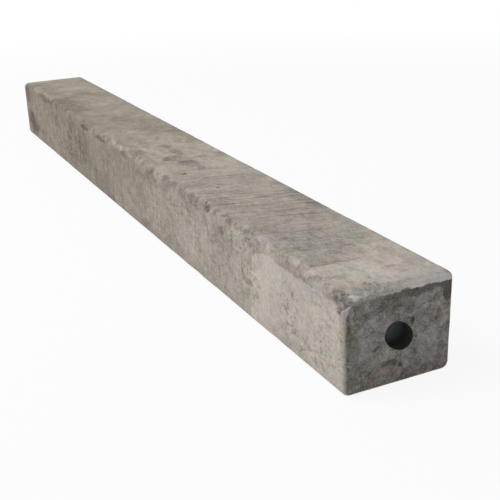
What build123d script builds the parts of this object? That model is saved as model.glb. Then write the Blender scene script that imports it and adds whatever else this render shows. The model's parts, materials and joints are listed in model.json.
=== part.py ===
"""Precast concrete lintel: one cast beam with rounded edges and a round core hole.

Units are millimetres, +Z is up. The origin is under the middle of the beam, in the plane of
the underside. The length runs along X, with the broken corner at the +X end, and the width
along Y.
"""

import os

from build123d import *

# Beam
length = 1400.0
width = 140.0
height = 120.0

# Rounding left by the mould, on the four long edges and round the rim of each end
long_edge_radius = 10.0
end_rim_radius = 4.0

# Core hole, cast round a tube that is drawn out afterwards
core_diameter = 35.0
core_centre_height = 58.0

# Corner broken off the top of the +X end: how far the break reaches along each sharp edge
corner_break_along = 36.0
corner_break_across = 28.0
corner_break_down = 22.0

# Wear along the top edge of that end, deepest at the broken corner
edge_wear_along = 15.0
edge_wear_across = 105.0
edge_wear_down = 13.0

end_x = length / 2
side_y = width / 2


def break_plane(along, across, down):
    """The plane that takes off the top corner at +X and -Y, with its normal into the beam."""
    on_long_edge = Vector(end_x - along, -side_y, height)
    on_end_edge = Vector(end_x, -side_y + across, height)
    on_upright = Vector(end_x, -side_y, height - down)
    normal = (on_end_edge - on_long_edge).cross(on_upright - on_long_edge)
    return Plane(origin=on_long_edge, z_dir=normal)


with BuildPart() as lintel:
    # The section stands across the length, with its underside on the ground plane
    with BuildSketch(Plane.YZ.offset(-end_x)):
        with Locations((0, height / 2)):
            RectangleRounded(width, height, long_edge_radius)
        with Locations((0, core_centre_height)):
            Circle(core_diameter / 2, mode=Mode.SUBTRACT)
    extrude(amount=length)

    # The rims of both ends are rounded, but the mouths of the core stay sharp
    end_faces = lintel.faces().filter_by(Axis.X)
    rim_edges = [edge for face in end_faces for edge in face.outer_wire().edges()]
    fillet(rim_edges, radius=end_rim_radius)

    # Damage to the +X end
    split(bisect_by=break_plane(edge_wear_along, edge_wear_across, edge_wear_down), keep=Keep.TOP)
    split(bisect_by=break_plane(corner_break_along, corner_break_across, corner_break_down), keep=Keep.TOP)

lintel.part.label = "lintel"

os.makedirs("parts", exist_ok=True)
export_step(lintel.part, "parts/lintel.step")
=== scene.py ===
"""Looks of the cast concrete lintel: its worn surface as a mesh, its concrete, and a white set."""
import itertools
import json
import math

import bpy
import numpy as np
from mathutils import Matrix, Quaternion, Vector


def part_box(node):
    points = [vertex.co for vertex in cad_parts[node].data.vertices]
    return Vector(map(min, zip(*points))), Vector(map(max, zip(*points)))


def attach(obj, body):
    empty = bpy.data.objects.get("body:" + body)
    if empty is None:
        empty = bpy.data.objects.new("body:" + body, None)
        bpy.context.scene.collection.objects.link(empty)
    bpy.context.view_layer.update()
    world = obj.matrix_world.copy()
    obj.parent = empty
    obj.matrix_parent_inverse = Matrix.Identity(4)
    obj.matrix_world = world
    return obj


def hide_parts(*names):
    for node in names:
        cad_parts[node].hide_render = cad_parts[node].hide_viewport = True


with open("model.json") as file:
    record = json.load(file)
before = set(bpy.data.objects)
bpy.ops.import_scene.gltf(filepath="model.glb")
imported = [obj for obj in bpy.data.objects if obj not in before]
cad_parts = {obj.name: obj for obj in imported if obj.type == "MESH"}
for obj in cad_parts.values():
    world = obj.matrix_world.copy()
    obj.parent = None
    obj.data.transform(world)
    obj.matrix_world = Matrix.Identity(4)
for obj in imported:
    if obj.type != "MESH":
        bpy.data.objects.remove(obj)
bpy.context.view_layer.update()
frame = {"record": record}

MM = 0.001

# The beam, from the frame
LOW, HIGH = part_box("lintel")
LENGTH, WIDTH, HEIGHT = HIGH - LOW
END_X = LENGTH / 2
SIDE_Y = WIDTH / 2
CORE = next(m for m in frame["record"]["mounts"] if m["name"] == "core_hole")
CORE_RADIUS = CORE["dims"]["r_mm"] * MM
CORE_HEIGHT = CORE["pos_m"][2]

# Rounding, with the top rims of the ends rubbed rounder than the rest
LONG_EDGE_RADIUS = 10 * MM
END_RIM_RADIUS = 4 * MM
TOP_RIM_RADIUS = 8 * MM

# Breaks at the top corner at +X and -Y: reach along X, across and down, and roughness
EDGE_WEAR = (15 * MM, 105 * MM, 13 * MM, 2.0 * MM)
CORNER_BREAK = (36 * MM, 28 * MM, 22 * MM, 2.6 * MM)
SPLINTER = (9 * MM, 18 * MM, 38 * MM, 1.4 * MM)

# The broken corner is raw up to this height, and lower from this place on towards the side
RAW_TOP = 115.5 * MM
RAW_SIDE_Y = -64 * MM
RAW_SLOPE = 0.6
RAW_BLEND = 1.3 * MM

# The mouth of the core at +X is out of round: share of its radius, direction of its long axis in
# the end face, how far its middle is off in Y and Z, and how far in it is round and true again
MOUTH_OVAL = 0.13
MOUTH_TILT = math.radians(139)
MOUTH_SHIFT = np.array((0.1, -0.5)) * MM
MOUTH_DEPTH = 45 * MM

# Paler skin on the -Y side: where it starts along X, over what length it blends in, below and above
# which heights its start leans towards -X and +X and how much, and the heights where it fades out
SKIN_START = 463 * MM
SKIN_BLEND = 60 * MM
SKIN_LOW = 40 * MM
SKIN_LOW_LEAN = 0.35
SKIN_HIGH = 80 * MM
SKIN_HIGH_LEAN = 0.5
SKIN_TOP = (112 * MM, 98 * MM)

# The top's surface laps over the upper edge of the +X end as a paler lip, partly real skin and partly
# painted light keeping the rim as bright as the lit top: heights where that lip starts and is full
LIP_HEIGHTS = (108.8 * MM, 109.8 * MM)

# Mesh density
ARC_STEPS = 9
SIDE_STEPS = 40
BED_STEPS = 48
RIM_STEPS = 5
FINE_STEP = 2.0 * MM
COARSE_STEP = 5.2 * MM
FINE_REACH = 60 * MM
COARSE_REACH = 240 * MM
NEAR_CAP_STEPS = 30
FAR_CAP_STEPS = 16
CORE_STEPS = 50

# Spalls knocked out of the top edge on the -Y side: place along X, half length and depth, in mm
EDGE_SPALLS = (
    (-500, 45, 1.5), (-225, 26, 3.0), (-112, 24, 2.5), (10, 16, 2.0), (269, 12, 2.0), (307, 14, 2.5),
    (350, 12, 3.5), (480, 16, 2.5), (590, 32, 3.0), (640, 14, 1.5),
)

# Marks on the faces, in mm: their places are X and Y on the top, X and Z on the side, Y and Z on the
# end. Pits: place, radius and depth
PITS = {
    "top": (
        (200, -38, 7.0, 2.0), (289, -24, 5.5, 1.4), (277, -17, 3.6, 1.0), (670, -19, 4.5, 2.0),
        (698, 6, 3.2, 1.2), (681, -32.5, 2.8, 1.0), (686, -29.5, 3.0, 1.2), (695, -20, 3.4, 1.2),
    ),
    "side": (
        (688, 101.5, 2.4, 1.2), (691.5, 100.2, 2.4, 1.4), (695, 98.8, 2.2, 1.0), (355, 112, 6.0, 1.5),
    ),
    "end": (
        (17.5, 73, 3.2, 2.4), (3, 22, 2.8, 2.2), (22, 107, 4.0, 1.2), (-8, 104, 3.0, 1.2),
    ),
}
# All other marks: place, half sizes along the two axes of the face, strength; they are in the order
# of their first place. Soft dark and light stains; among the dark ones are painted shade along the back top
# edge and a painted shadow under the lip of the +X end
DARK = {
    "top": (
        (-640, -50, 40, 20, 0.7), (-590, -42, 55, 26, 0.75), (-530, -35, 40, 22, 0.7),
        (-490, 5, 60, 30, 0.4), (-380, -48, 140, 25, 0.5), (-213, -58, 40, 14, 0.8),
        # On the top, 0, 67 and 385, 59 are painted shade along the rounded back top edge
        (-200, -35, 60, 40, 0.45), (-130, 0, 90, 60, 0.2), (0, 67, 740, 5, 0.3),
        (350, -50, 45, 12, 0.35), (356, 8, 14, 22, 0.4), (385, 59, 90, 18, 0.9),
        (451, 22, 40, 30, 0.4), (496, 56, 30, 16, 0.5), (545, -15, 70, 48, 0.12),
        (660, 48, 10, 12, 0.6), (690, -30, 9, 38, 0.3),
    ),
    "side": (
        (-668, 100, 26, 18, 0.6), (-640, 40, 45, 24, 1.2), (-520, 116, 60, 8, 0.7),
        (-260, 60, 6, 45, 0.4), (-225, 60, 25, 50, 0.3), (70, 60, 60, 50, 0.2), (97, 40, 6, 26, 0.5),
        (97, 92, 14, 12, 0.6), (108, 14, 30, 12, 0.6), (138, 100, 22, 14, 0.8),
        (191, 100, 20, 12, 0.6), (218, 24, 20, 12, 0.5), (288, 100, 14, 10, 0.5),
        (300, 112, 80, 8, 0.35), (328, 106, 12, 8, 0.5), (336, 116, 12, 6, 0.6),
        (347, 96, 12, 10, 0.6), (390, 84, 16, 14, 0.25), (440, 116, 40, 8, 0.35),
        (447, 115, 14, 7, 1.0), (460, 25, 16, 14, 0.2), (498, 88, 14, 12, 0.6), (560, 24, 14, 10, 0.6),
        (575, 14, 32, 10, 0.75), (600, 18, 16, 10, 0.7), (608, 34, 14, 8, 0.6), (660, 117, 8, 5, 0.5),
        (694, 80, 4, 24, 0.5),
    ),
    "end": (
        (-64, 70, 5, 28, 0.5), (-59, 17, 6, 6, 0.6), (-53, 43, 6, 6, 0.6), (-53, 62, 6, 8, 0.7),
        (-50, 101, 8, 6, 0.6), (-44, 90, 14, 6, 0.7), (-40, 30, 20, 10, 0.25), (-28, 100, 14, 8, 0.3),
        (-28, 106, 8, 4, 0.7), (-14, 94, 9, 7, 0.8), (-7, 23, 6, 3, 0.6), (5, 98, 9, 6, 0.6),
        # On the end, 22, 105 is a painted shadow under the lip
        (18, 28, 6, 6, 0.5), (22, 105, 46, 5, 0.9), (44, 91, 7, 5, 0.6), (55, 67, 6, 8, 0.7),
        (64, 21, 4, 6, 0.3),
    ),
}
LIGHT = {
    "top": (
        (-640, 10, 60, 60, 0.6), (-560, 35, 70, 22, 0.5), (-452, -4, 40, 20, 0.6),
        (-20, 10, 50, 40, 0.3), (-19, -47, 24, 12, 0.7), (30, -45, 26, 12, 0.5),
        (60, -28, 30, 10, 0.5), (80, 54, 44, 16, 1.1), (130, 35, 110, 26, 0.45),
        (200, 62, 130, 10, 0.4), (307, 55, 30, 14, 0.6), (328, -53, 14, 8, 0.6),
        (352, 55, 14, 10, 0.7), (512, -54, 12, 10, 1.3), (526, -55, 28, 12, 0.7),
        (546, -38, 14, 12, 0.7), (553, -2, 10, 12, 0.6), (572, -50, 14, 10, 0.9),
        (580, 35, 22, 34, 0.9), (582, -64, 14, 8, 0.8), (600, 57, 18, 16, 1.4), (655, 10, 48, 66, 0.6),
        (661, -52, 12, 10, 1.1), (690, 35, 20, 34, 0.6),
    ),
    "side": (
        (-37, 16, 26, 10, 0.6), (-26, 116, 24, 6, 0.8), (453, 89, 10, 10, 0.6), (465, 70, 30, 50, 0.6),
        (473, 13, 12, 10, 0.7), (482, 28, 14, 10, 0.7), (534, 112, 18, 10, 0.4),
        (620, 116, 14, 6, 0.8), (640, 112, 18, 8, 0.3), (640, 117, 8, 5, 0.6), (648, 75, 16, 16, 0.4),
    ),
    "end": (
        (-66, 106, 4, 5, 0.8), (-40, 60, 20, 26, 0.3), (-36, 8, 10, 6, 0.9), (-33, 31, 8, 6, 0.8),
        (20, 6, 40, 6, 0.25), (44, 50, 22, 24, 0.15),
    ),
}
# Dark and pale patches with crisp outlines; the dark ones that sit on the listed pits add painted shade in
# them
SHARP = {
    "top": (
        (40, -5, 18, 6, 0.7), (45, -57, 17, 12, 0.6), (76, -2, 24, 7, 0.9), (112, -22, 14, 15, 1.1),
        (150, -10, 22, 13, 0.7), (182, -3, 11, 6, 0.8), (613, -33, 4.0, 27, 0.6),
        (656, 16, 3.0, 8, 0.9), (660, 8, 8, 4, 0.4), (668, 66, 3, 3, 0.7), (675, 23, 2.4, 7, 0.8),
        (686, -30, 3.0, 10, 0.9), (691, -28, 2.5, 8, 0.9), (692, -12, 2.0, 6, 0.6),
    ),
    "side": (
        (-218, 110, 22, 4, 1.0), (-115, 109, 24, 4, 0.9), (12, 110, 14, 5, 0.6),
        (213, 112, 20, 4, 0.5), (227, 82, 7, 3, 0.5), (269, 108, 9, 6, 0.7), (307, 111, 14, 6, 0.8),
        (350, 113, 7, 4, 1.0), (395, 95, 10, 6, 0.7), (460, 68, 5, 9, 0.6), (475, 53, 12, 4, 0.8),
        (479, 106, 12, 6, 0.7), (482, 84, 4, 12, 0.6), (575, 113, 16, 6, 0.4), (605, 109, 16, 5, 0.4),
        (682, 109, 5, 5, 0.9), (691, 100, 4, 5, 1.0),
    ),
    "end": (
        (-63, 72, 4, 11, 0.9), (-57, 52, 8, 6, 0.7), (-52, 98, 6, 8, 0.25), (-31, 58, 2, 2, 0.8),
        (-18, 28.5, 3.4, 2.8, 0.8), (-12, 28, 4.0, 3.2, 0.9), (-6, 27.5, 4.6, 3.8, 0.9),
        (3, 22, 2.2, 3, 1.2), (14, 85, 5, 4, 0.6), (17.5, 73, 2.2, 4, 1.2), (23, 104, 4, 6, 0.9),
        (34, 9, 5, 5, 0.8), (51, 74, 2.5, 6, 0.6), (57, 107, 13, 4, 1.0), (63, 96, 6, 11, 1.2),
    ),
}
PALE = {
    "top": (
        (636, -34, 16, 30, 0.5), (668, -30, 10, 22, 0.5),
    ),
    "end": (
        (-66, 8, 5, 6, 0.3), (-60, 90.5, 1.7, 5, 1.3), (-60, 97.5, 3.2, 4.5, 1.6),
        (-40, 78, 12, 6, 0.6), (-37, 56, 9, 13, 0.8), (-27, 86, 3, 3, 0.5), (-24, 9, 7, 3.5, 1.3),
        (-14, 37, 9, 5, 0.9), (10, 21, 3, 4, 0.8), (38, 56, 12, 14, 0.2), (40, 82, 10, 6, 0.6),
        (52, 92, 4, 5, 0.5), (59, 60, 4, 14, 0.5),
    ),
}
# Bluish and rusty stains, with the bluish band along the back top edge painted shade, and patches of small
# flecks
COOL = {
    "top": (
        # On the top, 0, 63 and 385, 60 are painted shade along the rounded back top edge
        (-640, 0, 50, 40, 0.4), (0, 63, 720, 9, 0.7), (150, -12, 30, 13, 0.4), (385, 60, 90, 10, 0.9),
        (545, -25, 60, 40, 0.4), (638, -23, 16, 15, 1.2), (690, 20, 20, 50, 0.5),
    ),
    "side": (
        (-680, 85, 22, 30, 0.6), (-290, 80, 20, 15, 0.5), (520, 113, 28, 8, 0.3),
        (632, 102, 20, 10, 0.8),
    ),
    "end": (
        (-64, 10, 6, 10, 0.6), (-61, 95, 4, 9, 1.25), (-50, 98, 8, 8, 1.2), (-40, 78, 13, 8, 0.8),
        (-37, 57, 10, 12, 0.4), (-24, 9, 8, 4, 1.1), (4, 83, 10, 8, 1.0), (20, 92, 12, 8, 0.5),
        (40, 82, 12, 8, 1.25),
    ),
}
RUST = {
    "top": (
        (300, 30, 60, 30, 0.2), (640, 20, 30, 12, 0.4),
    ),
    "side": (
        (-660, 108, 30, 10, 0.4), (480, 40, 30, 36, 0.2), (585, 112, 36, 8, 0.3),
    ),
    "end": (
        (-36, 13, 5, 5, 0.7), (-23, 22, 6, 4, 0.6), (-15, 17.5, 9, 7, 1.0), (-10, 28, 10, 5, 0.4),
    ),
}
FLECKS = {
    "top": (
        (330, -40, 60, 30, 0.6), (440, 10, 60, 50, 0.5), (550, -10, 72, 52, 0.9),
        (640, 25, 40, 25, 0.6), (684, -20, 14, 40, 0.9),
    ),
    "side": (
        (-320, 50, 120, 40, 0.5), (300, 70, 180, 60, 0.3), (440, 100, 50, 16, 0.7),
        (470, 62, 16, 46, 0.6), (560, 62, 12, 26, 0.7), (583, 50, 22, 40, 1.0), (628, 22, 28, 15, 1.0),
        (640, 95, 20, 12, 0.6), (660, 42, 22, 32, 0.8), (676, 88, 14, 16, 0.8), (692, 55, 6, 48, 0.8),
    ),
}

# Thin lines that the trowel drew across the top, in mm: middle in X and Y, half length, half width,
# strength. Their slant is X for each Y, and it is less from one place along X on
LINES = (
    (221, 8, 12, 2.4, 0.5), (245, -15, 16, 2.4, 0.5), (269, -40, 9, 2.2, 0.6), (276, -17, 7, 2.2, 0.8),
    (279, 32, 11, 2.2, 0.5), (308, -32, 14, 2.4, 0.8), (340, 18, 16, 2.4, 0.5), (363, 8, 14, 2.6, 1.1),
    (365, 6, 42, 2.2, 0.5), (366, -23, 9, 2.6, 0.8), (366, 33, 14, 2.8, 1.0), (395, 0, 22, 2.4, 0.6),
    (423, -10, 11, 2.2, 0.6), (430, 25, 20, 2.0, 0.5), (471, -33, 12, 2.0, 0.7),
    (508, -12, 16, 1.8, 0.8), (521, -41, 8, 1.8, 0.8), (616, -59, 10, 1.6, 0.6),
    (617, -33, 36, 1.6, 0.9), (653, -37, 26, 1.2, 0.8),
)
LINE_SLANT = 0.25
NEAR_LINES_FROM = 450
NEAR_LINE_SLANT = 0.06

# Spots of another colour round the broken corner and in the lip, the first of them a painted highlight
# on the ridge of the break: place and half sizes in mm, colour, strength
SPOTS_AND_HIGHLIGHT = (
    ((695.5, -54, 113.2), (7, 6, 1.6), (214, 211, 205), 0.75),
    ((698, -66, 99), (5, 5, 6), (188, 178, 174), 0.9),
    ((692, -67.5, 105.5), (6, 4, 4), (176, 168, 161), 0.6),
    ((698.5, 7, 109.6), (4, 6, 2.3), (92, 87, 82), 0.8),
    ((699.5, -61, 93), (4, 2.0, 6), (150, 151, 156), 0.7),
)


def lattice_noise(points, cell, seed):
    """Smooth noise from -1 to 1, with lattice cells of the given size, or sizes along X, Y and Z."""
    table = 64
    values = np.random.default_rng(seed).uniform(-1, 1, (table, table, table))
    scaled = points / np.asarray(cell)
    base = np.floor(scaled).astype(int)
    part = scaled - base
    part = part * part * (3 - 2 * part)
    total = np.zeros(len(points))
    for corner in itertools.product((0, 1), repeat=3):
        x, y, z = ((base + corner) % table).T
        weight = np.where(corner, part, 1 - part).prod(axis=1)
        total += weight * values[x, y, z]
    return total


def layered_noise(points, cell, seed, layers=3):
    """Noise with finer layers of half the cell and half the strength, from about -1 to 1."""
    total = np.zeros(len(points))
    for layer in range(layers):
        total += lattice_noise(points, np.asarray(cell) / 2**layer, seed + layer) / 2**layer
    return total


def smooth_step(low, high, value):
    """0 below low, 1 above high, smooth between; the other way round where high is the lower one."""
    share = np.clip((value - low) / (high - low), 0, 1)
    return share * share * (3 - 2 * share)


def section_columns():
    """For each column round the section: its point on the inner rectangle, and its normal, in Y and Z."""
    inner_y = SIDE_Y - LONG_EDGE_RADIUS
    inner_z = HEIGHT / 2 - LONG_EDGE_RADIUS
    corners = [(1, -1), (1, 1), (-1, 1), (-1, -1)]
    flats = [SIDE_STEPS, BED_STEPS, SIDE_STEPS, BED_STEPS]
    points = []
    normals = []
    for turn, (corner, steps) in enumerate(zip(corners, flats)):
        centre = np.array(corner) * (inner_y, inner_z)
        following = np.array(corners[(turn + 1) % 4]) * (inner_y, inner_z)
        start = math.radians(90 * (turn - 1))
        for angle in np.linspace(start, start + math.pi / 2, ARC_STEPS, endpoint=False):
            points.append(centre)
            normals.append((math.cos(angle), math.sin(angle)))
        for share in np.linspace(0, 1, steps, endpoint=False):
            points.append(centre + (following - centre) * share)
            normals.append((math.cos(start + math.pi / 2), math.sin(start + math.pi / 2)))
    return np.array(points) + (0, HEIGHT / 2), np.array(normals)


def stations():
    """Places of the rings along the straight part, from -1 to 1, closer together towards the +X end."""
    places = [END_X]
    while places[-1] > -END_X:
        share = smooth_step(FINE_REACH, COARSE_REACH, END_X - places[-1])
        places.append(places[-1] - (FINE_STEP + (COARSE_STEP - FINE_STEP) * share))
    places = np.array(places[::-1])
    return -1 + 2 * (places - places[0]) / (places[-1] - places[0])


def beam_rings():
    """Rings of points and normals that run along the outside, over the +X end, back through the
    core and over the -X end, so that the grid closes on itself both ways."""
    inner, normals = section_columns()
    rim_radius = END_RIM_RADIUS + (TOP_RIM_RADIUS - END_RIM_RADIUS) * smooth_step(0.3, 1.0, normals[:, 1])
    middle = np.array((0, CORE_HEIGHT))
    outward = inner + normals * LONG_EDGE_RADIUS - middle
    outward /= np.linalg.norm(outward, axis=1)[:, None]
    oval = MOUTH_OVAL * np.cos(2 * (np.arctan2(outward[:, 1], outward[:, 0]) - MOUTH_TILT))
    rings = []

    def core_wall(x):
        share = smooth_step(END_X - MOUTH_DEPTH, END_X, x)
        return middle + MOUTH_SHIFT * share + outward * (CORE_RADIUS * (1 + oval * share))[:, None]

    def add(x, points, tilt_x, across, bore=0.0):
        count = len(points)
        place = np.column_stack([np.broadcast_to(x, count), points])
        normal = np.column_stack([np.full(count, tilt_x), across])
        rings.append((place, normal, np.full(count, bore)))

    def rim(side, turns):
        for turn in turns:
            inset = rim_radius * (1 - math.cos(turn))
            x = side * (END_X - rim_radius * (1 - math.sin(turn)))
            points = inner + normals * (LONG_EDGE_RADIUS - inset)[:, None]
            add(x, points, side * math.sin(turn), normals * math.cos(turn))

    def cap(side, shares):
        edge = inner + normals * (LONG_EDGE_RADIUS - rim_radius)[:, None]
        mouth = core_wall(side * END_X)
        for share in shares:
            add(side * END_X, edge + (mouth - edge) * share, side, normals * 0)

    quarter = np.linspace(0, math.pi / 2, RIM_STEPS + 1)
    rim(-1, quarter[:0:-1])
    for share in stations():
        add(share * (END_X - rim_radius), inner + normals * LONG_EDGE_RADIUS, 0, normals)
    rim(1, quarter[1:])
    cap(1, np.linspace(0, 1, NEAR_CAP_STEPS + 1)[1:])
    for turn in np.linspace(0, math.pi, CORE_STEPS + 1)[1:-1]:
        x = END_X * math.cos(turn)
        add(x, core_wall(x), 0, -outward, bore=1.0)
    cap(-1, np.linspace(1, 0, FAR_CAP_STEPS + 1)[:-1])
    return [np.array(part) for part in zip(*rings)]


def on_face(face, points, normals):
    """Share of each point in a face, and its two places in the plane of that face."""
    if face == "top":
        return smooth_step(0.3, 0.8, normals[:, 2]), points[:, 0], points[:, 1]
    if face == "side":
        return smooth_step(0.2, 0.6, -normals[:, 1]), points[:, 0], points[:, 2]
    return smooth_step(0.4, 0.9, normals[:, 0]), points[:, 1], points[:, 2]


def in_space(face, first, second):
    """The point at a place on a face that is given in mm."""
    if face == "top":
        return (first * MM, second * MM, HEIGHT)
    if face == "side":
        return (first * MM, -SIDE_Y, second * MM)
    return (END_X, first * MM, second * MM)


def stains(marks, points, normals, seed):
    """Strength of the listed stains, and of the painted shade among them, at each point, with ragged
    outlines.
    """
    ragged = 0.5 * layered_noise(points, 16 * MM, seed)
    total = np.zeros(len(points))
    for face, spots in marks.items():
        share, a, b = on_face(face, points, normals)
        for first, second, half_first, half_second, strength in spots:
            distance = np.hypot((a / MM - first) / half_first, (b / MM - second) / half_second)
            total = np.maximum(total, strength * share * smooth_step(1.3, 0.5, distance + ragged))
    return total


def sharp_stains(marks, points, normals):
    """How deep each point lies in the nearest listed patch, stains and painted shade alike, 0.5 on its
    outline, and its strength.
    """
    cover = np.zeros(len(points))
    weight = np.zeros(len(points))
    for face, spots in marks.items():
        share, a, b = on_face(face, points, normals)
        for first, second, half_first, half_second, strength in spots:
            distance = np.hypot((a / MM - first) / half_first, (b / MM - second) / half_second)
            inside = share * np.clip(1 - distance / 2, 0, 1)
            weight = np.where(inside > cover, strength, weight)
            cover = np.maximum(cover, inside)
    return cover, weight


def pale_skin(points, normals):
    """How far each point lies in the paler skin, from 0 at its start to 1."""
    start = points[:, 0] + SKIN_LOW_LEAN * np.clip(SKIN_LOW - points[:, 2], 0, None)
    start -= SKIN_HIGH_LEAN * np.clip(points[:, 2] - SKIN_HIGH, 0, None)
    share = np.clip((start - SKIN_START) / SKIN_BLEND, 0, 1)
    return share * smooth_step(*SKIN_TOP, points[:, 2]) * smooth_step(0.6, 0.0, normals[:, 1])


def surface_relief(points, normals, bore):
    """How far each point lies below the true face: waves, tool marks, pits and rough ends."""
    top = np.clip(normals[:, 2], 0, 1)
    side = np.abs(normals[:, 1])
    end = np.abs(normals[:, 0])
    waves = 0.2 * MM * (1 + lattice_noise(points, 150 * MM, 11))
    grain = 0.15 * MM * (1 + layered_noise(points, 11 * MM, 12) / 2)
    trowel = 0.14 * MM * (1 + layered_noise(points, (14 * MM, 60 * MM, 60 * MM), 13) / 2) * top
    drag = 0.14 * MM * (1 + layered_noise(points, (12 * MM, 60 * MM, 40 * MM), 14) / 2) * side
    rough = 0.45 * MM * (1 + layered_noise(points, 12 * MM, 15) / 2) * end
    relief = waves + grain + (trowel + drag + rough) * (1 - bore)
    for face, pits in PITS.items():
        share, a, b = on_face(face, points, normals)
        for first, second, radius, depth in pits:
            distance = np.hypot(a / MM - first, b / MM - second) / radius
            relief += depth * MM * share * np.clip(1 - distance**2, 0, None) ** 1.5
    return relief


def edge_loss(points, normals):
    """How far the long edges and the rims are worn away, with the listed spalls."""
    long_edge = np.clip(4 * (normals[:, 1] * normals[:, 2]) ** 2, 0, 1)
    rim = np.clip(4 * normals[:, 0] ** 2 * (1 - normals[:, 0] ** 2), 0, 1)
    front = smooth_step(0.05, 0.4, -normals[:, 1] * normals[:, 2])
    ragged = np.clip(layered_noise(points, 34 * MM, 21, layers=2) + 0.1, 0, None)
    loss = MM * ragged * (0.35 * long_edge + 0.7 * front + 0.7 * rim)
    chipped = 0.7 + 0.5 * layered_noise(points, 9 * MM, 22)
    for place, half, depth in EDGE_SPALLS:
        reach = np.clip(1 - ((points[:, 0] / MM - place) / half) ** 2, 0, None)
        loss += depth * MM * reach * front * np.clip(chipped, 0, None)
    return loss


def break_off(points, sizes, seed):
    """Moves points beyond the break back onto it, and says how far each one was beyond it."""
    along, across, down, roughness = sizes
    on_long_edge = np.array((END_X - along, -SIDE_Y, HEIGHT))
    on_end_edge = np.array((END_X, -SIDE_Y + across, HEIGHT))
    on_upright = np.array((END_X, -SIDE_Y, HEIGHT - down))
    out = np.cross(on_upright - on_long_edge, on_end_edge - on_long_edge)
    out /= np.linalg.norm(out)
    rough = roughness * layered_noise(points, 9 * MM, seed)
    beyond = np.clip((points - on_long_edge) @ out + rough, 0, None)
    return points - beyond[:, None] * out, beyond


def raw_share(moved, broken, worn):
    """How much of the raw inside of the concrete shows: on the broken corner and in deep spalls."""
    raw_top = RAW_TOP - RAW_SLOPE * np.clip(RAW_SIDE_Y - moved[:, 1], 0, None)
    below = smooth_step(RAW_BLEND, -RAW_BLEND, moved[:, 2] - raw_top)
    lost = broken * below + 0.6 * np.clip(worn - 1.5 * MM, 0, None)
    return smooth_step(0.6 * MM, 2.0 * MM, lost)


def cast_beam():
    """The mesh of the whole beam, closed, with what its material needs to know at each point."""
    places, normals, bore = beam_rings()
    rows, columns = bore.shape
    points = places.reshape(-1, 3)
    normals = normals.reshape(-1, 3)
    normals /= np.linalg.norm(normals, axis=1)[:, None]
    bore = bore.ravel()
    worn = edge_loss(points, normals) * (1 - bore)
    moved = points - normals * (surface_relief(points, normals, bore) + worn)[:, None]
    moved, wear = break_off(moved, EDGE_WEAR, 31)
    moved, broken = break_off(moved, CORNER_BREAK, 41)
    moved, splinter = break_off(moved, SPLINTER, 51)

    index = np.arange(rows * columns).reshape(rows, columns)
    ahead = np.roll(index, -1, axis=0)
    quads = np.stack([index, ahead, np.roll(ahead, -1, axis=1), np.roll(index, -1, axis=1)], axis=-1)
    mesh = bpy.data.meshes.new("lintel_cast")
    mesh.from_pydata(moved.tolist(), [], quads.reshape(-1, 4)[:, ::-1].tolist())
    mesh.shade_smooth()
    cover, weight = sharp_stains(SHARP, points, normals)
    pale_cover, pale_weight = sharp_stains(PALE, points, normals)
    marks = {
        "top": np.clip(normals[:, 2], 0, 1) ** 2,
        "end": normals[:, 0] ** 2,
        "broken": raw_share(moved, np.maximum(broken, splinter), worn),
        "worn": smooth_step(0.1 * MM, 1.2 * MM, wear),
        "bore": bore,
        "arris": smooth_step(0.1, 0.45, -normals[:, 1] * normals[:, 2]),
        "skin": pale_skin(points, normals),
        "cover": cover,
        "weight": weight,
        "pale_cover": pale_cover,
        "pale_weight": pale_weight,
        "fleck": stains(FLECKS, points, normals, 121),
        "dark": stains(DARK, points, normals, 81),
        "light": stains(LIGHT, points, normals, 91),
        "cool": stains(COOL, points, normals, 101),
        "rust": stains(RUST, points, normals, 111),
    }
    for name, values in marks.items():
        mesh.attributes.new(name, "FLOAT", "POINT").data.foreach_set("value", values.astype(np.float32))
    beam = bpy.data.objects.new("lintel_cast", mesh)
    bpy.context.scene.collection.objects.link(beam)
    return beam


def srgb(red, green, blue):
    """A colour given as it looks on screen, from 0 to 255, as linear values."""
    def linear(level):
        share = level / 255
        return share / 12.92 if share <= 0.04045 else ((share + 0.055) / 1.055) ** 2.4
    return (linear(red), linear(green), linear(blue), 1.0)


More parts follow.
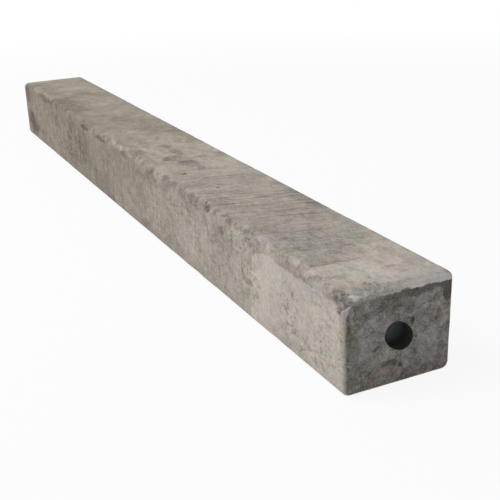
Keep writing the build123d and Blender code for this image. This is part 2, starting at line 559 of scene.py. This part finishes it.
class Shade:
    """Adds nodes to a tree. Values and other nodes' outputs can fill any input."""

    def __init__(self, tree):
        self.tree = tree

    def put(self, kind, inputs, output=0, **settings):
        node = self.tree.nodes.new(kind)
        for name, value in settings.items():
            setattr(node, name, value)
        for key, value in inputs.items():
            if isinstance(value, bpy.types.NodeSocket):
                self.tree.links.new(value, node.inputs[key])
            else:
                node.inputs[key].default_value = value
        return node.outputs[output]

    def mark(self, name):
        return self.put("ShaderNodeAttribute", {}, output="Fac", attribute_name=name)

    def noise(self, vector, size, turn=0.0, detail=4.0, roughness=0.55, distortion=0.0, output=0):
        """Noise with features of the given size, or sizes along X, Y and Z, turned about Z."""
        sizes = size if isinstance(size, tuple) else (size, size, size)
        place = self.put("ShaderNodeMapping", {"Vector": vector, "Rotation": (0, 0, -turn), "Scale": sizes},
                         vector_type="TEXTURE")
        inputs = {"Vector": place, "Scale": 1.0, "Detail": detail, "Roughness": roughness,
                  "Distortion": distortion}
        return self.put("ShaderNodeTexNoise", inputs, output=output)

    def spread(self, vector, middle, halves):
        """Distance from a place, counted in the half sizes of a spot along X, Y and Z."""
        place = self.put("ShaderNodeMapping", {"Vector": vector, "Location": middle, "Scale": halves},
                         vector_type="TEXTURE")
        return self.put("ShaderNodeVectorMath", {0: place}, output="Value", operation="LENGTH")

    def math(self, operation, first, second=0.0):
        return self.put("ShaderNodeMath", {0: first, 1: second}, operation=operation)

    def product(self, first, *others):
        for other in others:
            first = self.math("MULTIPLY", first, other)
        return first

    def largest(self, first, second):
        return self.math("MAXIMUM", first, second)

    def inverse(self, share):
        return self.math("SUBTRACT", 1.0, share)

    def total(self, base, noises=(), values=()):
        """A base value, plus noises counted from their middle and other values, each times its factor."""
        result = base
        for factor, value in (*noises, *values):
            result = self.put("ShaderNodeMath", {0: value, 1: factor, 2: result}, operation="MULTIPLY_ADD")
        return self.math("SUBTRACT", result, sum(factor * 0.5 for factor, value in noises))

    def step(self, value, low, high, bottom=0.0, top=1.0):
        inputs = {"Value": value, "From Min": low, "From Max": high, "To Min": bottom, "To Max": top}
        return self.put("ShaderNodeMapRange", inputs, interpolation_type="SMOOTHSTEP")

    def mix(self, share, first, second, blend="MIX"):
        return self.put("ShaderNodeMix", {0: share, 6: first, 7: second}, output=2,
                        data_type="RGBA", blend_type=blend)

    def offset(self, vector, factor, base):
        """A base vector plus a noise colour, counted from its middle and times a factor."""
        middle = (0.5, 0.5, 0.5)
        shift = self.put("ShaderNodeVectorMath", {0: vector, 1: middle}, operation="SUBTRACT")
        shift = self.put("ShaderNodeVectorMath", {0: shift, "Scale": factor}, operation="SCALE")
        return self.put("ShaderNodeVectorMath", {0: base, 1: shift}, operation="ADD")


class Concrete(Shade):
    """Cast concrete: trowel marks on the top, drag marks on the sides, dark mottled ends. Tones run
    from 0, dark, to 1, light; places and sizes are in metres."""

    def __init__(self, tree):
        super().__init__(tree)
        self.where = self.put("ShaderNodeTexCoord", {}, output="Object")
        axes = tree.nodes.new("ShaderNodeSeparateXYZ")
        tree.links.new(self.where, axes.inputs[0])
        self.along, self.across, self.up = axes.outputs
        bend = self.put("ShaderNodeTexNoise", {"Vector": self.where, "Scale": 6.0, "Detail": 1.0},
                        output="Color")
        self.bent = self.offset(bend, 0.04, self.where)
        self.is_end = self.mark("end")
        self.add_noises()
        self.add_marks()

    def add_noises(self):
        """The noises that several faces share, from coarse to fine."""
        self.blotch = self.noise(self.where, 0.1, detail=3.0)
        film = self.noise(self.bent, (0.045, 0.03, 0.035), detail=8.0, roughness=0.62)
        self.film = self.step(film, 0.49, 0.54)
        damp = self.noise(self.where, 0.026, detail=8.0, roughness=0.62, distortion=0.3)
        self.damp = self.step(damp, 0.54, 0.59)
        self.mottle = self.noise(self.where, 0.012, detail=6.0, roughness=0.66, distortion=0.2)
        grit = self.noise(self.where, 0.0042, detail=3.0, roughness=0.75)
        near = self.step(self.along, 0.0, 0.5, 0.2, 1.0)
        self.grit = self.product(self.total(0.0, [(1.0, grit)]), near)
        spot = self.noise(self.where, 0.0035, detail=2.0, roughness=0.6)
        self.spot = self.step(spot, 0.58, 0.7)
        self.grain = self.noise(self.where, 0.0022, detail=2.0, roughness=0.7)
        self.ragged = self.total(0.0, [(0.9, self.mottle), (0.4, self.grain)])

    def add_marks(self):
        """The marks that the mesh carries, and the lip of the top over the end."""
        self.dark = self.largest(self.mark("dark"), self.patches("cover", "weight"))
        self.light = self.largest(self.mark("light"), self.patches("pale_cover", "pale_weight"))
        fleck = self.noise(self.where, (0.008, 0.008, 0.0045), detail=3.0, roughness=0.6)
        self.fleck = self.product(self.step(fleck, 0.54, 0.59), self.mark("fleck"))
        over = self.total(0.0, [(0.008, self.mottle)], [(1.0, self.up), (0.006, self.across)])
        self.lip = self.product(self.step(over, *LIP_HEIGHTS), self.step(self.along, 0.0, 0.1))
        self.capped = self.product(self.step(self.is_end, 0.0, 0.8), self.lip)

    def patches(self, cover, weight):
        """Strength of the crisp patches, cut out of how deep a point lies in them."""
        inside = self.math("ADD", self.mark(cover), self.ragged)
        return self.product(self.step(inside, 0.4, 0.48), self.mark(weight))

    def clean(self):
        return self.mix(self.step(self.along, -0.1, 0.4), srgb(212, 202, 187), srgb(212, 203, 193))

    def drawn_lines(self, comb):
        """The listed lines across the top, broken up by the comb marks."""
        lines = 0.0
        for middle_x, middle_y, half, wide, strength in LINES:
            slant = LINE_SLANT if middle_x < NEAR_LINES_FROM else NEAR_LINE_SLANT
            slope = self.total(0.0, [(0.006, self.mottle)], [(1.0, self.along), (-slant, self.across)])
            beside = self.math("SUBTRACT", slope, (middle_x - slant * middle_y) * MM)
            beside = self.math("ABSOLUTE", beside)
            reach = self.math("ABSOLUTE", self.math("SUBTRACT", self.across, middle_y * MM))
            line = self.product(self.step(beside, wide * 0.5 * MM, wide * 1.3 * MM, strength, 0.0),
                                self.step(reach, half * 0.7 * MM, half * 1.1 * MM, 1.0, 0.0))
            lines = self.largest(lines, line)
        return self.product(lines, self.step(comb, 0.4, 0.6, 0.3, 1.0))

    def top(self):
        """The trowelled top, scratched across in its middle."""
        trowel = self.noise(self.bent, (0.022, 0.02, 0.02), turn=0.14, detail=4.0, roughness=0.6)
        comb = self.noise(self.where, (0.014, 0.0032, 0.003), turn=0.1, detail=2.0, roughness=0.6)
        scratch = self.noise(self.where, (0.0055, 0.1, 0.02), turn=0.27, detail=2.0, roughness=0.5)
        groove = self.step(scratch, 0.57, 0.63)
        ridge = self.step(scratch, 0.42, 0.37)
        drawn = self.product(self.step(self.along, 0.12, 0.24), self.step(self.along, 0.4, 0.62, 1.0, 0.25))
        scratch = self.product(self.total(0.0, (), [(1.0, groove), (-0.6, ridge)]), drawn)
        patchy = self.total(0.0, [(0.4, trowel), (0.32, self.mottle), (0.36, comb)],
                            [(0.1, self.film), (-0.1, self.damp)])
        patchy = self.product(patchy, self.step(self.along, -0.3, 0.1, 0.5, 1.0),
                              self.total(1.0, (), [(-0.3, drawn)]))
        clouds = self.product(self.total(0.0, [(1.0, self.blotch)]),
                              self.step(self.along, 0.1, 0.4, 0.6, 0.4))
        base = self.step(self.along, -0.15, 0.2, 0.39, 0.5)
        near_end = self.step(self.along, 0.56, 0.66)
        values = [(1.0, patchy), (1.0, clouds), (-0.17, scratch), (-0.3, self.drawn_lines(comb)),
                  (0.4, self.grit), (-0.06, self.spot), (-0.16, self.fleck), (-0.24, self.dark),
                  (0.18, self.light), (0.11, near_end)]
        tone = self.total(base, [(0.5, self.grain)], values)
        return self.mix(tone, srgb(97, 88, 79), self.clean())

    def side(self):
        """The sides, with drag marks from the mould and a paler skin towards the +X end."""
        drag = self.noise(self.bent, (0.016, 0.02, 0.012), detail=4.0, roughness=0.6)
        pull = self.noise(self.where, (0.006, 0.05, 0.045), detail=3.0, roughness=0.6)
        scrape = self.noise(self.bent, (0.009, 0.01, 0.008), detail=3.0, roughness=0.6)
        scrape = self.product(self.step(scrape, 0.55, 0.6), self.step(self.blotch, 0.35, 0.6, 0.4, 1.3))
        skin = self.total(0.0, [(1.0, drag), (0.8, self.mottle)], [(1.0, self.mark("skin"))])
        skin = self.step(skin, 0.42, 0.58)
        streaks = self.total(0.0, [(0.36, drag), (0.3, pull), (0.28, self.mottle)],
                             [(-0.08, scrape), (0.07, self.film), (-0.08, self.damp)])
        streaks = self.product(streaks, self.total(1.0, (), [(-0.5, skin)]),
                               self.step(self.along, 0.4, 0.5, 0.84, 1.0))
        # Painted shade: the sides a little darker at their foot, towards the +X end
        foot_shade = self.product(self.step(self.up, 0.035, 0.008), self.step(self.along, -0.3, 0.1))
        pale = self.product(skin, self.step(self.along, 0.5, 0.68, 0.25, 0.165))
        base = self.step(self.along, -0.3, 0.55, 0.285, 0.55)
        values = [(1.0, streaks), (0.6, self.grit), (-0.06, self.spot), (-0.32, self.fleck),
                  (-0.24, self.dark), (0.2, self.light), (1.0, pale), (-0.05, foot_shade)]
        tone = self.total(base, [(0.5, self.grain), (0.35, self.blotch)], values)
        return self.mix(tone, srgb(89, 80, 71), self.clean())

    def end(self):
        """The dark ends, mottled and gritty."""
        stones = self.put("ShaderNodeTexVoronoi", {"Vector": self.where, "Scale": 110.0}, output="Color")
        stone = self.put("ShaderNodeSeparateColor", {0: stones})
        chip = self.noise(self.where, 0.008, detail=5.0, roughness=0.6, distortion=0.4)
        chip = self.step(chip, 0.46, 0.54)
        tone = self.total(0.45, [(0.7, self.mottle), (1.25, self.grain), (0.25, stone)],
                          [(0.16, self.film), (-0.16, self.damp), (0.14, chip), (0.95, self.grit),
                           (-0.14, self.spot)])
        tone = self.product(tone, self.total(1.0, (), [(-0.62, self.dark)]))
        tone = self.total(tone, (), [(0.24, self.light)])
        return self.mix(tone, srgb(70, 65, 60), srgb(176, 171, 165))

    def worn(self):
        """The worn top edge of the +X end, smoother and paler away from the broken corner."""
        smooth = self.step(self.across, -0.012, 0.018)
        uneven = self.total(0.0, [(1.2, self.mottle), (1.0, self.grain)],
                            [(-0.3, self.spot), (-0.2, self.fleck)])
        uneven = self.product(uneven, self.total(1.0, (), [(-0.5, smooth)]))
        tone = self.total(0.48, (), [(0.8, uneven), (0.37, smooth)])
        return self.mix(tone, srgb(100, 96, 90), srgb(232, 228, 221))

    def raw(self):
        """The inside of the concrete, where it is broken."""
        tone = self.total(0.345, [(0.9, self.mottle), (0.8, self.grain)],
                          [(-0.2, self.spot), (0.5, self.light), (-0.2, self.dark)])
        return self.mix(tone, srgb(66, 62, 57), srgb(206, 200, 192))

    def faces(self):
        """All faces and breaks together."""
        colour = self.mix(self.largest(self.mark("top"), self.capped), self.side(), self.top())
        crumbs = self.product(self.mark("arris"), self.step(self.mottle, 0.42, 0.54, 0.5, 0.0),
                              self.inverse(self.light))
        colour = self.mix(crumbs, colour, srgb(96, 89, 80))
        # The lip takes the pale worn colour: partly a real skin, partly painted light on the rim
        colour = self.mix(self.largest(self.mark("worn"), self.capped), colour, self.worn())
        # The end's -Y upright rim keeps most of the side's paler colour: partly its skin, partly a painted
        # highlight on that rim
        outside_rim_highlight = self.step(self.total(0.0, [(0.008, self.mottle)], [(1.0, self.across)]), -0.067, -0.065)
        end_share = self.product(self.step(self.is_end, 0.65, 0.95), self.inverse(self.lip),
                                 self.total(0.3, (), [(0.7, outside_rim_highlight)]))
        colour = self.mix(end_share, colour, self.end())
        return self.mix(self.mark("broken"), colour, self.raw())

    def with_spots_and_highlight(self, colour):
        # The first spot is a painted highlight on the break
        for place, halves, spot_or_highlight_colour, strength in SPOTS_AND_HIGHLIGHT:
            spot_or_highlight = self.spread(self.where, [value * MM for value in place], [half * MM for half in halves])
            spot_or_highlight = self.total(0.0, (), [(1.0, spot_or_highlight), (-3.0, self.ragged)])
            colour = self.mix(self.step(spot_or_highlight, 0.6, 1.2, strength, 0.0), colour, srgb(*spot_or_highlight_colour))
        return colour

    def with_tints(self, colour):
        """Slight shifts of hue all over, then the bluish and rusty stains, the bluish band along the back
        top edge being painted shade.
        """
        tint = self.noise(self.where, 0.06, detail=4.0, roughness=0.6)
        colour = self.mix(self.step(tint, 0.5, 0.68), colour, (0.98, 0.965, 0.98, 1), blend="MULTIPLY")
        colour = self.mix(self.step(tint, 0.5, 0.32), colour, (0.98, 1.0, 0.96, 1), blend="MULTIPLY")
        hue = self.noise(self.where, 0.02, detail=3.0, roughness=0.6, output="Color")
        hue = self.offset(hue, self.total(0.12, (), [(0.14, self.is_end)]), (1.0, 1.0, 1.0))
        colour = self.mix(1.0, colour, hue, blend="MULTIPLY")
        cool = self.product(self.mark("cool"), 0.8)
        colour = self.mix(cool, colour, (0.92, 0.965, 1.06, 1), blend="MULTIPLY")
        return self.mix(self.mark("rust"), colour, (1.02, 0.88, 0.86, 1), blend="MULTIPLY")

    def with_painted_hollow_shade(self, colour):
        """Pits painted dark as their shade, and the core's wall painted near black as shade near each
        mouth, paler deeper in.
        """
        for face, pits in PITS.items():
            for first, second, radius, depth in pits:
                spread = self.spread(self.where, in_space(face, first, second), [radius * MM] * 3)
                # Painted shade in each pit
                pit_shade = self.step(spread, 0.35, 0.8, 0.7, 0.0)
                colour = self.mix(pit_shade, colour, srgb(52, 48, 43))
        # Painted shade: the core's wall near black close to each mouth, pale deeper in
        inner = self.step(self.math("ABSOLUTE", self.along), 0.655, 0.685, 0.75, 0.05)
        return self.mix(self.mark("bore"), colour, inner)

    def bump(self):
        rough = self.total(0.0, [(0.7, self.mottle), (0.5, self.grain)], [(-0.3, self.spot)])
        return self.put("ShaderNodeBump", {"Height": rough, "Distance": 0.0014, "Strength": 0.6})


def concrete():
    """The material of the whole beam."""
    material = bpy.data.materials.new("cast_concrete")
    material.use_nodes = True
    tree = material.node_tree
    surface = tree.nodes["Principled BSDF"]
    surface.inputs["Roughness"].default_value = 0.9
    surface.inputs["Specular IOR Level"].default_value = 0.25
    shade = Concrete(tree)
    colour = shade.with_spots_and_highlight(shade.faces())
    colour = shade.with_painted_hollow_shade(shade.with_tints(colour))
    tree.links.new(colour, surface.inputs["Base Color"])
    tree.links.new(shade.bump(), surface.inputs["Normal"])
    return material


def seen_rays(shade):
    """1 for rays that come straight from the camera or by a mirror or through glass, else 0."""
    rays = shade.tree.nodes.new("ShaderNodeLightPath").outputs
    mirrored = shade.largest(rays["Is Glossy Ray"], rays["Is Transmission Ray"])
    return shade.largest(rays["Is Camera Ray"], mirrored)


def white_floor():
    """A white floor that keeps a soft shadow near the beam and is plain white far from it."""
    floor_size = 60
    shadow_reach = 1.0
    plain_from = 2.6
    bpy.ops.mesh.primitive_plane_add(size=floor_size)
    floor = bpy.context.object
    floor.name = "floor"
    paint = bpy.data.materials.new("white_floor")
    paint.use_nodes = True
    paint.node_tree.nodes.clear()
    shade = Shade(paint.node_tree)
    matt = shade.put("ShaderNodeBsdfDiffuse", {"Color": (0.85, 0.85, 0.85, 1)})
    glow = shade.put("ShaderNodeEmission", {"Color": (1, 1, 1, 1), "Strength": 1.0})
    where = shade.put("ShaderNodeTexCoord", {}, output="Object")
    away = shade.put("ShaderNodeVectorMath", {0: where}, output="Value", operation="LENGTH")
    share = shade.product(seen_rays(shade), shade.step(away, shadow_reach, plain_from, 0.9, 1.0))
    both = shade.put("ShaderNodeMixShader", {0: share, 1: matt, 2: glow})
    out = paint.node_tree.nodes.new("ShaderNodeOutputMaterial")
    paint.node_tree.links.new(both, out.inputs["Surface"])
    floor.data.materials.append(paint)


def white_surround():
    """A world that is seen as white and lights the beam softly from all sides."""
    world_light = 0.38
    world = bpy.data.worlds.new("white_surround")
    world.use_nodes = True
    bpy.context.scene.world = world
    world.node_tree.nodes.clear()
    shade = Shade(world.node_tree)
    level = shade.step(seen_rays(shade), 0.0, 1.0, world_light, 1.0)
    sky = shade.put("ShaderNodeBackground", {"Color": (1, 1, 1, 1), "Strength": level})
    out = world.node_tree.nodes.new("ShaderNodeOutputWorld")
    world.node_tree.links.new(sky, out.inputs["Surface"])


def key_light():
    """A large soft lamp from the upper left, aimed at the middle of the beam."""
    lamp = bpy.data.lights.new("key", "AREA")
    lamp.shape = "DISK"
    lamp.size = 2.6
    lamp.energy = 82
    key = bpy.data.objects.new("key", lamp)
    bpy.context.scene.collection.objects.link(key)
    key.location = (-0.6, -1.9, 2.7)
    key.rotation_mode = "QUATERNION"
    key.rotation_quaternion = (Vector((0, 0, HEIGHT / 2)) - key.location).to_track_quat("-Z", "Y")


def photo_camera():
    """The camera at the photo's viewing angle, for a square picture."""
    picture = 500
    focal_pixels = 898.29
    azimuth = math.radians(64.397)
    elevation = math.radians(21.192)
    roll = math.radians(-1.932)
    lens = bpy.data.cameras.new("camera")
    lens.sensor_width = 36.0
    lens.lens = focal_pixels / picture * lens.sensor_width
    lens.clip_start = 0.05
    camera = bpy.data.objects.new("camera", lens)
    bpy.context.scene.collection.objects.link(camera)
    camera.location = (1.40716, -0.51211, 0.49478)
    back = Vector((math.sin(azimuth) * math.cos(elevation), -math.cos(azimuth) * math.cos(elevation),
                   math.sin(elevation)))
    camera.rotation_mode = "QUATERNION"
    camera.rotation_quaternion = (-back).to_track_quat("-Z", "Y") @ Quaternion((0, 0, 1), roll)
    bpy.context.scene.camera = camera


beam = cast_beam()
beam.data.materials.append(concrete())
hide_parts("lintel")
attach(beam, "root")
white_floor()
white_surround()
key_light()
photo_camera()
bpy.context.scene.view_settings.view_transform = "Standard"
